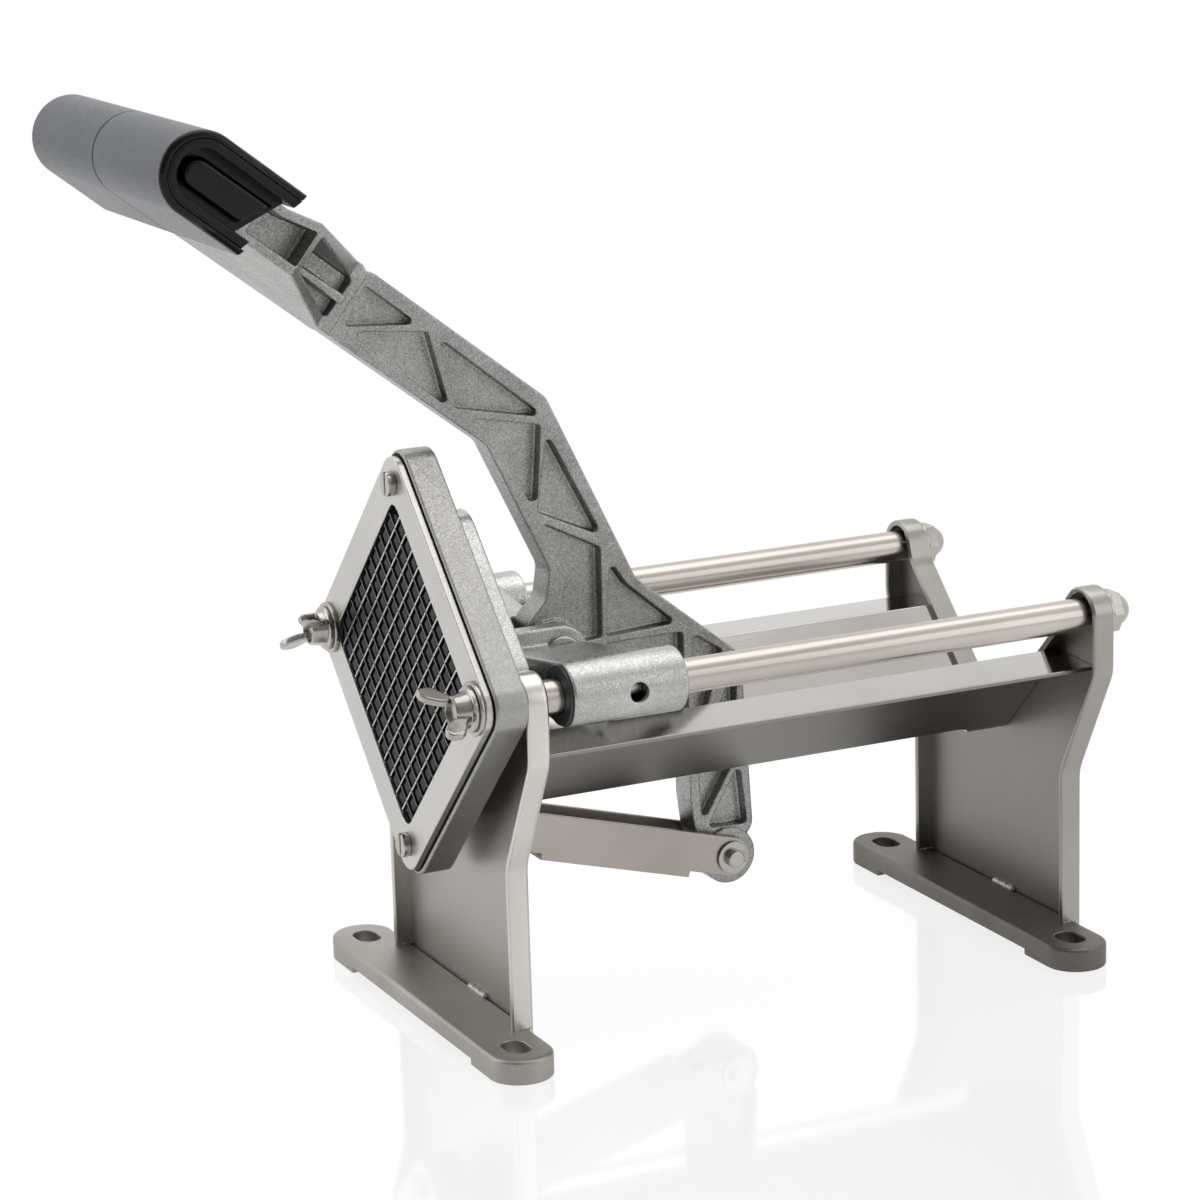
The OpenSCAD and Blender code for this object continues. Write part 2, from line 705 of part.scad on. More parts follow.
// Pusher block: a grid of square fingers on a base, one finger for every cell
module pusher_block() {
    base_front = carriage_front - pusher_t;
    color("dimgray") difference() {
        union() {
            translate([0, 0, rod_height]) along_y(base_front, carriage_front) diamond(pusher_half, pusher_r);
            intersection() {
                translate([0, 0, rod_height]) rotate([0, 45, 0])
                    for (i = [0 : cells - 1], j = [0 : cells - 1])
                        translate([(i - (cells - 1) / 2) * cell - finger_w / 2, base_front - finger_len,
                            (j - (cells - 1) / 2) * cell - finger_w / 2])
                            cube([finger_w, finger_len + pusher_t / 2, finger_w]);
                translate([0, 0, rod_height])
                    along_y(base_front - finger_len - over, base_front + pusher_t / 2) diamond(pusher_half, pusher_r);
            }
        }
        for (sx = [-1, 1], sz = [-1, 1]) translate([sx * pusher_screw_x, 0, rod_height + sz * pusher_screw_z])
            bar_y(pusher_screw_r + run, carriage_front - pusher_screw_bite - run, carriage_front + over);
    }
}

module pusher_screws() {
    color("lightgray")
        for (sx = [-1, 1], sz = [-1, 1]) translate([sx * pusher_screw_x, 0, rod_height + sz * pusher_screw_z]) {
            bar_y(pusher_screw_r, carriage_front - pusher_screw_bite, carriage_back);
            bar_y(pusher_screw_head_r, carriage_back, carriage_back + pusher_screw_head_t);
        }
}

module lever_pivot_pin() {
    color("lightgray") translate([0, pivot_y, rod_height]) {
        bar_x(pivot_d / 2, -cheek_out, cheek_out);
        for (s = [-1, 1]) mirror([s < 0 ? 1 : 0, 0, 0]) bar_x(rivet_r, cheek_out, cheek_out + rivet_t);
    }
}

// Places its children in the axes of the handle
module handle_axes() {
    translate([0, pivot_y - handle_fwd, rod_height + handle_rise]) rotate([-handle_tilt, 0, 0]) children();
}

// Outline of the truss arm and the leg, in Y and Z from the pivot
module lever_outline() {
    corner_r = boss_r * lever_corner_share;
    polygon(rounded(concat(
        sized(arm_back_shares, handle_rise, corner_r),
        sized(arm_front_shares, handle_rise, corner_r),
        [for (i = [len(leg_front_shares) - 1 : -1 : 0])
            [leg_front_shares[i].x * crank_drop, leg_front_shares[i].y * crank_drop, corner_r]],
        [for (i = [len(leg_back_shares) - 1 : -1 : 0])
            [leg_back_shares[i].x * crank_drop, leg_back_shares[i].y * crank_drop, corner_r]])));
}

// Pockets of the truss, on both faces, with the web left between them
module truss_pockets() {
    depth = (lever_t - truss_web_t) / 2;
    for (s = [-1, 1]) along_x(min(s * truss_web_t / 2, s * (truss_web_t / 2 + depth + over)),
        max(s * truss_web_t / 2, s * (truss_web_t / 2 + depth + over))) difference() {
        union() {
            for (p = upper_pocket_shares) polygon(rounded(sized(p, handle_rise, pocket_r)));
            for (p = lower_pocket_shares) polygon(rounded(sized(p, crank_drop, pocket_r)));
        }
        circle(r = boss_r, $fn = round_fn);
        translate([crank_back, -crank_drop]) circle(r = crank_r, $fn = round_fn);
    }
}

// Side outline of the block where the arm meets the fan, in handle axes
module box_outline() {
    polygon([[box_start, -bar_r], [fan_end, -fan_low], [box_stop, -fan_low], [box_stop, box_step],
        [box_stop - box_slant, box_top], [fan_end, box_top], [box_start, fan_shoulder]]);
}

// The fan: its plan seen from above and its side outline, crossed
module fan() {
    bar_half = bar_len / 2;
    intersection() {
        translate([0, 0, -fan_low]) linear_extrude(fan_low + box_top) polygon([[-bar_half, 0], [bar_half, 0],
            [bar_half, fan_wide], [box_half_t, fan_end], [-box_half_t, fan_end], [-bar_half, fan_wide]]);
        along_x(-bar_half, bar_half) polygon([[0, -bar_r], [fan_wide, -bar_r], [fan_end, -fan_low],
            [fan_end, box_top], [fan_wide, fan_shoulder], [fan_flat, bar_r], [0, bar_r]]);
    }
}

// Lever casting: truss arm, leg, pivot bosses and the wide fan that carries the crossbar
module lever() {
    bar_half = bar_len / 2;
    color("darkgray") difference() {
        union() {
            translate([0, pivot_y, rod_height]) {
                difference() {
                    along_x(-lever_t / 2, lever_t / 2) lever_outline();
                    truss_pockets();
                }
                bar_x(boss_r, -boss_t / 2, boss_t / 2);
                translate([0, crank_back, -crank_drop]) bar_x(crank_r, -boss_t / 2, boss_t / 2);
            }
            handle_axes() {
                along_x(-box_half_t, box_half_t) box_outline();
                fan();
                bar_x(bar_r, -bar_half, bar_half);
            }
        }
        handle_axes() for (s = [-1, 1]) mirror([s < 0 ? 1 : 0, 0, 0]) {
            along_x(box_web_t / 2, bar_half + over) polygon(rounded([
                [rib_end, recess_wall - bar_r, pocket_r], [box_stop - box_wall, box_wall - fan_low, pocket_r],
                [box_stop - box_wall, box_step - box_wall, pocket_r],
                [rib_end, fan_shoulder - recess_wall, pocket_r]]));
            along_x(recess_x, bar_half + over) polygon([[recess_start, recess_wall - bar_r],
                [fan_wide, recess_wall - bar_r], [fan_wide, fan_shoulder - recess_wall],
                [fan_flat, bar_r - recess_wall], [recess_start, bar_r - recess_wall]]);
        }
        translate([0, pivot_y, rod_height]) {
            bar_x(pivot_d / 2 + run, -boss_t, boss_t);
            translate([0, crank_back, -crank_drop]) bar_x(pin_r + run, -boss_t, boss_t);
        }
    }
}

// U outline of a grip layer: round front and two legs, the upper one longer
module grip_outline(r, long, short) {
    circle(r = r, $fn = round_fn);
    polygon([[0, -r], [short, -r], [long, r], [0, r]]);
}

// Grip skin on one side of the handle
module grip(side) {
    mirror([side < 0 ? 1 : 0, 0, 0]) handle_axes() along_x(grip_seam, grip_w / 2) difference() {
        grip_outline(grip_r, grip_long, grip_short);
        grip_outline(grip_r - grip_wall, grip_long + grip_r, grip_long + grip_r);
    }
}

// Liner between the casting and the skin, closed over the end of the crossbar
module grip_liner(side) {
    outer = grip_r - grip_wall - grip_play / 2;
    inner = outer - liner_wall;
    end_x = bar_len / 2 + grip_play;
    mirror([side < 0 ? 1 : 0, 0, 0]) handle_axes() {
        along_x(grip_seam, grip_w / 2 - grip_seam) difference() {
            grip_outline(outer, grip_long - grip_seam, grip_short - grip_seam);
            grip_outline(inner, grip_long + grip_r, grip_long + grip_r);
        }
        along_x(end_x, end_x + liner_end_t) grip_outline(inner, grip_long - grip_wall, grip_short - grip_wall);
    }
}

// Channel link between the leg of the lever and the bracket, in axes along its pins
module link_channel() {
    half = link_w / 2;
    end_r = link_h / 2;
    color("silver") translate([0, rear_pin_y, rear_pin_z]) rotate([-link_tilt, 0, 0]) difference() {
        union() {
            for (s = [-1, 1]) mirror([s < 0 ? 1 : 0, 0, 0]) along_x(half - link_t, half) union() {
                for (y = [0, -link_len]) translate([y, 0]) circle(r = end_r, $fn = round_fn);
                translate([-link_len, -end_r]) square([link_len, link_h]);
                translate([link_cut_front - link_len, -end_r - link_base_drop])
                    square([link_len - link_cut_front - link_cut_rear, link_h]);
            }
            translate([-half, link_cut_front - link_len, -end_r - link_base_drop])
                cube([link_w, link_len - link_cut_front - link_cut_rear, link_t]);
        }
        for (y = [0, -link_len]) translate([0, y, 0]) bar_x(pin_r + run, -link_w, link_w);
    }
}

// Headed pin through the link and the leg, grooved for its clip
module rear_link_pin() {
    half = link_w / 2;
    color("lightgray") translate([0, rear_pin_y, rear_pin_z]) difference() {
        union() {
            bar_x(pin_r, -half, half + clip_gap + clip_t + pin_tail);
            bar_x(pin_head_r, -half - pin_head_t, -half);
        }
        difference() {
            bar_x(pin_r + over, half + clip_gap, half + clip_gap + clip_t);
            bar_x(pin_r - clip_t, half, half + clip_gap + clip_t + over);
        }
    }
}

// Retaining clip in the groove of the pin, open to one side
module link_pin_clip() {
    half = link_w / 2;
    mouth = pin_r * root2;
    color("gray") translate([0, rear_pin_y, rear_pin_z]) difference() {
        bar_x(clip_r, half + clip_gap + run, half + clip_gap + clip_t - run);
        bar_x(pin_r - clip_t + run, half, half + clip_gap + clip_t + over);
        translate([half, 0, -mouth / 2]) cube([clip_gap + clip_t + over, clip_r + over, mouth]);
    }
}

color("silver") foot(front_foot_y);  // front_foot
color("silver") foot(rear_foot_y);  // rear_foot
color("gainsboro") end_plate(front_web, opening_reach);  // front_plate
color("gainsboro") end_plate(rear_web, opening_reach - plate_t * root2);  // rear_plate
trough();
guide_rod(-1);  // left_guide_rod
guide_rod(1);  // right_guide_rod
rod_jam_nuts();
color("lightgray") at_rods() washer_y(washer_r, rear_web_back);  // rear_washers
cap_nuts();
blade_frame();
blade_cover();
blade_family(-45, true);  // rising_blades
blade_family(45, false);  // falling_blades
cover_screws();
color("lightgray") at_rods() washer_y(front_washer_r, cover_front - washer_t);  // front_washers
wing_nut(-1);  // left_wing_nut
wing_nut(1);  // right_wing_nut
link_bracket();
front_link_pin();
carriage();
sleeve_bushings();
pusher_block();
pusher_screws();
lever_pivot_pin();
lever();
color("slategray") grip(-1);  // left_grip
color("slategray") grip(1);  // right_grip
color("black") grip_liner(-1);  // left_grip_liner
color("black") grip_liner(1);  // right_grip_liner
link_channel();
rear_link_pin();
link_pin_clip();
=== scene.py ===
# %% [markdown]
# This file dresses a bench french fry cutter. A cast lever drives a black pusher block
# along two rods and through a grid of blades. The shapes and joints were settled in
# solid form before, and load here as a fixed frame, so every piece made below goes
# where that frame says and rides on one of its bodies.

import bpy
import bmesh
import json
import math
from mathutils import Matrix, Vector


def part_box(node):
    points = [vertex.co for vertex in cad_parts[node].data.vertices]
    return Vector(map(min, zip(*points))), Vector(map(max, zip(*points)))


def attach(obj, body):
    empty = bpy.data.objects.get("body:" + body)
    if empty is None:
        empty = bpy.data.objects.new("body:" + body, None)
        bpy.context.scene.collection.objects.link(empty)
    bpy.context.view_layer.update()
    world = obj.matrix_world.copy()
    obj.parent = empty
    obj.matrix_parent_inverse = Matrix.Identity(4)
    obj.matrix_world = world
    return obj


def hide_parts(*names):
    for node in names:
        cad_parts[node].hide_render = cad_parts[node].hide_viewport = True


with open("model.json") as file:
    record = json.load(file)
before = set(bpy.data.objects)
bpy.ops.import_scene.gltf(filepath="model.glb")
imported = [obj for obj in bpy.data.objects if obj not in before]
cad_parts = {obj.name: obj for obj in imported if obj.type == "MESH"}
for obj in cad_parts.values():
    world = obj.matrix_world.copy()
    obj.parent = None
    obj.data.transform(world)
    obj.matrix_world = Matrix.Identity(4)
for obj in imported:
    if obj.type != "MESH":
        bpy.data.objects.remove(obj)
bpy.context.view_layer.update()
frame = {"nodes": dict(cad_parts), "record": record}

# %% [markdown]
# Blender works in metres here, while a maker thinks in millimetres. One constant turns
# the sizes below from one to the other, and another counts patterns per metre. A few
# places of the frame get names, all in millimetres.

# %% Units and places
MM = 0.001
PER_METRE = 1000.0
FOOT_TOP = 8.0
ROD_HEIGHT = 118.2
ROD_X = 59.0
PIVOT = Vector((0.0, -59.7, ROD_HEIGHT))
COVER_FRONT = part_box("blade_cover")[0].y / MM
# The front faces of the two end plates' webs, and how far their rims stand forwards
FRONT_WEB = -91.5
REAR_WEB = 112.5
RIM_DEPTH = 5.8
print("front of the blade cover at y", round(COVER_FRONT, 2))

# %% [markdown]
# The photograph was taken with a long lens from the front right, a little above the
# cutter. The place and the turn of the camera were worked out from the rods, the blade
# grid and the slots in the feet. A camera looks along its own minus Z, so the matrix
# holds its right, its up and its backward direction as columns.

# %% Camera
CAMERA_AT = Vector((1056.2, -542.6, 419.6))
CAMERA_TURN = math.radians(64.5247)
CAMERA_TILT = math.radians(13.8892)
CAMERA_ROLL = math.radians(-1.68318)
LENS_MM = 111.135

backward = Vector((math.sin(CAMERA_TURN) * math.cos(CAMERA_TILT),
                   -math.cos(CAMERA_TURN) * math.cos(CAMERA_TILT),
                   math.sin(CAMERA_TILT)))
level = Vector((math.cos(CAMERA_TURN), math.sin(CAMERA_TURN), 0.0))
upright = backward.cross(level)
right = math.cos(CAMERA_ROLL) * level + math.sin(CAMERA_ROLL) * upright
upward = math.cos(CAMERA_ROLL) * upright - math.sin(CAMERA_ROLL) * level
camera = bpy.data.objects.new("photo_camera", bpy.data.cameras.new("photo_camera"))
camera.data.lens = LENS_MM
camera.data.sensor_width = 36.0
camera.data.clip_end = 100.0
turn = Matrix((right, upward, backward)).transposed().to_4x4()
camera.matrix_world = Matrix.Translation(CAMERA_AT * MM) @ turn
bpy.context.scene.collection.objects.link(camera)
bpy.context.scene.camera = camera
print("camera distance in mm", round(CAMERA_AT.length))

# %% [markdown]
# A material is a small graph of nodes. Two helpers keep the graphs readable: one turns
# a colour written as on a paint chart into the linear values that the renderer mixes,
# and one adds a node with its settings, its values and its links.

# %% Helpers for materials
def tint(hex_colour):
    """The linear colour of an sRGB hex value, by the curve that sRGB defines."""
    parts = [int(hex_colour[i:i + 2], 16) / 255 for i in (1, 3, 5)]
    return tuple(p / 12.92 if p <= 0.04045 else ((p + 0.055) / 1.055) ** 2.4 for p in parts) + (1.0,)


def add(tree, kind, sockets=None, **settings):
    made = tree.nodes.new(kind)
    for name, value in settings.items():
        setattr(made, name, value)
    for name, value in (sockets or {}).items():
        if isinstance(value, bpy.types.NodeSocket):
            tree.links.new(value, made.inputs[name])
        else:
            made.inputs[name].default_value = value
    return made


print("white in linear light", tint("#ffffff"))

# %% [markdown]
# Three more helpers start a finish, end it in a Principled shader, and turn a pattern
# into a colour or a roughness between two stops. Patterns read Object coordinates,
# so they stay fixed to the metal when a piece moves.

# %% Helpers for finishes
def start_finish(name):
    finish = bpy.data.materials.new(name)
    finish.use_nodes = True
    tree = finish.node_tree
    tree.nodes.clear()
    where = add(tree, "ShaderNodeTexCoord").outputs["Object"]
    return finish, tree, where


def end_finish(tree, sockets):
    surface = add(tree, "ShaderNodeBsdfPrincipled", sockets)
    add(tree, "ShaderNodeOutputMaterial", {"Surface": surface.outputs["BSDF"]})


def stops(tree, value, *marks):
    ramp = add(tree, "ShaderNodeValToRGB", {"Fac": value})
    while len(ramp.color_ramp.elements) < len(marks):
        ramp.color_ramp.elements.new(0.5)
    for element, (at, colour) in zip(ramp.color_ramp.elements, marks):
        element.position = at
        element.color = colour
    return ramp.outputs["Color"]


def grey(level):
    return (level, level, level, 1.0)


print("middle grey", grey(0.5))

# %% [markdown]
# Brushed stainless sheet has fine straight scratches from a belt. They are far finer
# than a pixel, so they are drawn about 0.4 mm wide and 30 mm long. The scratches
# change the roughness and bend the surface a little, which is what smears reflections
# across the grain. Larger cloudy patches keep wide faces from looking computed.

# %% Brushed steel
FINE_RELIEF = 0.1 * MM


def brushed(name, dark, light, roughness, spread, grain_mm, bump, cloud=22.0):
    finish, tree, where = start_finish(name)
    grain = add(tree, "ShaderNodeMapping", {"Vector": where, "Scale": tuple(PER_METRE / g for g in grain_mm)})
    lines = add(tree, "ShaderNodeTexNoise", {"Vector": grain.outputs["Vector"], "Scale": 1.0, "Detail": 2.0})
    clouds = add(tree, "ShaderNodeTexNoise", {"Vector": where, "Scale": cloud, "Detail": 3.0})
    colour = stops(tree, clouds.outputs["Fac"], (0.30, tint(dark)), (0.70, tint(light)))
    rough = stops(tree, lines.outputs["Fac"], (0.25, grey(roughness - spread)), (0.75, grey(roughness + spread)))
    relief = add(tree, "ShaderNodeBump", {"Height": lines.outputs["Fac"], "Strength": bump, "Distance": FINE_RELIEF})
    end_finish(tree, {"Base Color": colour, "Metallic": 1.0, "Roughness": rough, "Normal": relief.outputs["Normal"]})
    return finish


web_sheet = brushed("satin_stainless_web", "#a09d99", "#aeaba7", 0.38, 0.04, (0.4, 0.4, 30.0), 0.02, 9.0)
# A lighter copy of the web finish for the rim: a painted reflection of the bright room
front_rim_sheet_painted_reflection = brushed("front_rim_painted_reflection", "#cbc8c3", "#d8d5d0", 0.30, 0.04, (0.4, 0.4, 20.0), 0.02)
cover_sheet = brushed("ground_stainless_cover", "#bfbdb9", "#c9c7c3", 0.34, 0.04, (30.0, 30.0, 0.4), 0.02)
link_sheet = brushed("satin_stainless_link", "#a8a19a", "#b5afa8", 0.36, 0.05, (0.4, 20.0, 0.4), 0.03)
# The rear plate gets darker copies of both sheet finishes: painted shade
rear_web_sheet_painted_shade = brushed("rear_satin_web_painted_shade", "#7e7b77", "#8c8985", 0.40, 0.04, (0.4, 0.4, 30.0), 0.02, 9.0)
rear_rim_painted_light = brushed("rear_rim_painted_reflection_and_shade", "#9a9792", "#a7a49f", 0.32, 0.04, (0.4, 0.4, 20.0), 0.02)
print("sheet finishes", web_sheet.name, front_rim_sheet_painted_reflection.name, cover_sheet.name, link_sheet.name)

# %% [markdown]
# The trough is bent from sheet with a mirror finish on the side that the potatoes
# touch. Its outside is left satin, as the mill delivers it, and its colour is painted much darker as shade.

# %% Trough finishes
trough_mirror = brushed("mirror_stainless_trough", "#b3b0ab", "#bfbcb8", 0.12, 0.03, (0.4, 30.0, 0.4), 0.02)
# Darker copy for the outside: painted shade on the faces that look down
outside_of_trough_painted_shade = brushed("mill_satin_trough_painted_shade", "#8b8884", "#96938f", 0.40, 0.04, (0.4, 30.0, 0.4), 0.04)
print("trough", trough_mirror.name, outside_of_trough_painted_shade.name)

# %% [markdown]
# The rods are centreless ground: marks run round the bar, so the highlight along it is
# long and soft. The feet are hot-rolled flat bar, blasted to a dull grey grain.

# %% Rods and feet
rod_steel = brushed("centreless_ground_rod", "#b7b0a8", "#c4beb7", 0.25, 0.02, (1.2, 60.0, 1.2), 0.005, 14.0)
bar_steel = brushed("blasted_flat_bar", "#a19d98", "#b2aea9", 0.46, 0.08, (0.7, 0.7, 0.7), 0.30, 30.0)
# A darker copy of the bar finish for the rear foot: painted shade
rear_bar_steel_painted_shade = brushed("rear_flat_bar_painted_shade", "#6c6964", "#7a7671", 0.46, 0.08, (0.7, 0.7, 0.7), 0.30, 30.0)
print("bars", rod_steel.name, bar_steel.name)

# %% [markdown]
# Plated fasteners and the blades are smoother than the sheet. The marks on the fasteners
# come from handling and run in no direction, while the blades are ground across.

# %% Fasteners and blades
plated = brushed("nickel_plated_steel", "#a6a29c", "#bab7b2", 0.22, 0.05, (1.5, 1.5, 1.5), 0.04)
blade_steel = brushed("ground_blade_steel", "#b4b4b2", "#c3c3c1", 0.30, 0.04, (0.5, 2.0, 2.0), 0.03)
# A darker copy of the blade finish for the falling blades: painted shade
falling_blade_painted_shade = brushed("blade_steel_in_painted_shade", "#5e5e5d", "#6c6c6b", 0.40, 0.04, (0.5, 2.0, 2.0), 0.03)
print("small parts", plated.name, blade_steel.name, falling_blade_painted_shade.name)

# %% [markdown]
# A rolled screw thread is a wave along the stud. M8 threads repeat every 1.25 mm, and a
# wave pattern with that period drives the bump, so the ends catch light ring by ring. The
# same wave darkens the colour towards the roots of the thread: painted shade.

# %% Thread
# A wave texture of scale 1 repeats after this many units
WAVE_PERIOD = 2 * math.pi / 20
THREAD_RELIEF = 0.5 * MM


def rolled_thread(name, colour, pitch_mm):
    finish, tree, where = start_finish(name)
    rings = add(tree, "ShaderNodeTexWave", {"Vector": where, "Scale": WAVE_PERIOD / (pitch_mm * MM)},
                wave_type="BANDS", bands_direction="Y", wave_profile="TRI")
    # The colour darkens towards the roots of the thread: painted shade
    shade = stops(tree, rings.outputs["Fac"], (0.0, tint("#6d6a66")), (0.6, tint(colour)))
    relief = add(tree, "ShaderNodeBump", {"Height": rings.outputs["Fac"], "Strength": 0.8, "Distance": THREAD_RELIEF})
    end_finish(tree, {"Base Color": shade, "Metallic": 1.0, "Roughness": 0.30, "Normal": relief.outputs["Normal"]})
    return finish


thread_steel = rolled_thread("rolled_m8_thread", "#c2beb8", 1.25)
print("thread", thread_steel.name)

# %% [markdown]
# Sand-cast aluminium keeps the print of the sand: grains about 0.3 to 0.6 mm wide that
# glint one by one. A cell pattern gives each grain its own tilt and its own brightness,
# the brightness a painted glint in the colour, and a soft noise lays the larger clouds of
# the mould over it. The bevel node makes the light turn round the small inner edges,
# where sand never leaves a sharp corner.

# %% Cast aluminium
SAND_RELIEF = 0.2 * MM
INNER_ROUND = 1.0 * MM


def cast(name, dark, light, grain_mm, roughness, bump, glint=0.45):
    finish, tree, where = start_finish(name)
    grains = add(tree, "ShaderNodeTexVoronoi", {"Vector": where, "Scale": PER_METRE / grain_mm})
    clouds = add(tree, "ShaderNodeTexNoise", {"Vector": where, "Scale": 60.0, "Detail": 4.0})
    sparkle = add(tree, "ShaderNodeSeparateColor", {"Color": grains.outputs["Color"]})
    # Each grain's own brightness, mixed into the colour, is a painted glint
    mixed = add(tree, "ShaderNodeMix", {"Factor": glint, "A": clouds.outputs["Fac"], "B": sparkle.outputs["Red"]})
    colour = stops(tree, mixed.outputs["Result"], (0.25, tint(dark)), (0.80, tint(light)))
    rough = stops(tree, sparkle.outputs["Green"], (0.1, grey(roughness - 0.10)), (0.9, grey(roughness + 0.10)))
    turned = add(tree, "ShaderNodeBevel", {"Radius": INNER_ROUND}, samples=6)
    relief = add(tree, "ShaderNodeBump", {"Height": grains.outputs["Distance"], "Strength": bump,
                                          "Distance": SAND_RELIEF, "Normal": turned.outputs["Normal"]})
    end_finish(tree, {"Base Color": colour, "Metallic": 1.0, "Roughness": rough, "Normal": relief.outputs["Normal"]})
    return finish


cast_alloy = cast("sand_cast_aluminium", "#858583", "#b4b4b2", 0.42, 0.36, 0.30)
carriage_alloy = cast("sand_cast_carriage", "#a6a6a4", "#cbcbc9", 0.50, 0.34, 0.22, 0.35)
frame_alloy = cast("fine_cast_aluminium_frame", "#9f9e9a", "#b0afab", 0.45, 0.42, 0.10, 0.30)
# Near black: painted shade in the seam where the cover meets the frame
cover_seam_painted_shade = brushed("frame_seam_painted_shade", "#1c1b1a", "#262524", 0.60, 0.05, (1.0, 1.0, 1.0), 0.10)
print("castings", cast_alloy.name, frame_alloy.name)

# %% [markdown]
# The plastics differ in colour and in how tight their highlights are: moulded nylon for
# the pusher block, a soft dark grey sleeve for the grips and a black rubber liner. The
# flat ends of the nylon fingers are a lighter grey.

# %% Plastics and rubber
def moulded(name, colour, lighter, roughness, grain_mm, bump, shine=0.5):
    finish, tree, where = start_finish(name)
    clouds = add(tree, "ShaderNodeTexNoise", {"Vector": where, "Scale": 40.0, "Detail": 3.0})
    pebble = add(tree, "ShaderNodeTexNoise", {"Vector": where, "Scale": PER_METRE / grain_mm, "Detail": 1.0})
    shade = stops(tree, clouds.outputs["Fac"], (0.3, tint(colour)), (0.7, tint(lighter)))
    rough = stops(tree, pebble.outputs["Fac"], (0.3, grey(roughness - 0.05)), (0.7, grey(roughness + 0.05)))
    relief = add(tree, "ShaderNodeBump", {"Height": pebble.outputs["Fac"], "Strength": bump, "Distance": FINE_RELIEF})
    end_finish(tree, {"Base Color": shade, "Roughness": rough, "Specular IOR Level": shine,
                      "Normal": relief.outputs["Normal"]})
    return finish


black_nylon = moulded("black_moulded_nylon", "#060607", "#0b0b0c", 0.45, 0.8, 0.20, 0.12)
# A lighter grey for the flat ends of the fingers
lighter_nylon_ends = moulded("grey_nylon_finger_ends", "#2b2d2f", "#35373a", 0.50, 0.8, 0.25, 0.15)
bush_acetal = moulded("black_acetal", "#29292a", "#343435", 0.38, 0.8, 0.12)
grip_skin = moulded("dark_grey_vinyl_grip", "#4e5156", "#55585d", 0.36, 0.9, 0.05, 0.30)
liner_rubber = moulded("black_rubber_liner", "#060607", "#09090b", 0.18, 4.0, 0.02, 0.28)
print("plastics", black_nylon.name, grip_skin.name, liner_rubber.name)

# %% [markdown]
# Most solids of the frame have the right shape but edges as sharp as a knife. A copy of
# each is merged into one skin, its flat faces are joined again, and its sharp edges get
# the small rounds that tumbling, casting or folding leave. The copy stands for the node
# and rides on the same body. Weighted normals keep the flat faces flat between them.
# The sharp edges are rounded run by run, shortest run first. Dicts keep the edges in
# order, where a set would shuffle them and round a little differently on each start.

# %% Helpers for pieces
BODY_OF = {n: body for body, names in frame["record"]["behaviour"]["bodies"].items() for n in names}
SLOT_OF = {part["node"]: part["material_slot"] for part in frame["record"]["subparts"]}
# Faces that meet at a smaller angle than this count as one flat face
JOIN_ANGLE = math.radians(0.4)


def skin_of(node, merge_mm=0.002):
    bm = bmesh.new()
    bm.from_mesh(frame["nodes"][node].data)
    bmesh.ops.remove_doubles(bm, verts=bm.verts, dist=merge_mm * MM)
    bmesh.ops.dissolve_limit(bm, angle_limit=JOIN_ANGLE, verts=bm.verts, edges=bm.edges)
    return bm


def far_from(spots):
    """True away from the named corners, given as |x|, y, z and a radius."""
    return lambda m: all((Vector((abs(m.x), m.y, m.z)) - Vector(s[:3])).length > s[3] for s in spots)


def soften(bm, width_mm, segments=2, least=28.0, pick=None, free=10000):
    """Rounds the sharp edges run by run; a run of more than `free` edges is not held back by its shortest."""
    left = dict.fromkeys(e for e in bm.edges if len(e.link_faces) == 2
                         and math.degrees(e.calc_face_angle(0.0)) > least
                         and (pick is None or pick((e.verts[0].co + e.verts[1].co) / (2 * MM))))
    runs = []
    while left:
        run = [left.popitem()[0]]
        for edge in run:
            joined = dict.fromkeys(e for v in edge.verts for e in v.link_edges if e in left)
            for e in joined:
                del left[e]
            run += joined
        runs.append(run)
    for run in sorted(runs, key=len):
        bmesh.ops.bevel(bm, geom=[e for e in run if e.is_valid], offset=width_mm * MM, offset_type="OFFSET",
                        segments=segments, profile=0.5, affect="EDGES", clamp_overlap=len(run) < free, material=-1)


def place(name, bm, body, slot, finishes, *nodes, sharp=40.0):
    mesh = bpy.data.meshes.new(name)
    bm.to_mesh(mesh)
    bm.free()
    mesh.polygons.foreach_set("use_smooth", [True] * len(mesh.polygons))
    mesh.set_sharp_from_angle(angle=math.radians(sharp))
    for finish in finishes:
        mesh.materials.append(finish)
    piece = bpy.data.objects.new(name, mesh)
    bpy.context.scene.collection.objects.link(piece)
    even = piece.modifiers.new("even_normals", "WEIGHTED_NORMAL")
    even.keep_sharp = True
    even.weight = 100
    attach(piece, body)
    if nodes:
        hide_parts(*nodes)
    print(name, len(mesh.polygons), "faces")


def dressed(node, finish, width_mm, segments=2, least=28.0, sharp=40.0, free=10000, spots=()):
    bm = skin_of(node)
    soften(bm, width_mm, segments, least, far_from(spots), free)
    place(node + "_skin", bm, BODY_OF[node], SLOT_OF[node], [finish], node, sharp=sharp)


# %% [markdown]
# The feet are flat bars with round ends. A grinder has broken their upper edge to a
# wide soft chamfer, while the slots and the underside only lost their burr, so the two
# kinds of edges are rounded one after the other.

# %% Feet
UPPER_ROUND, BURR_ROUND = 1.3, 0.5
# Each slot lies between these |x| and within this distance of the foot's middle line
SLOT_INNER, SLOT_OUTER, SLOT_ROOM = 54.0, 68.0, 6.0
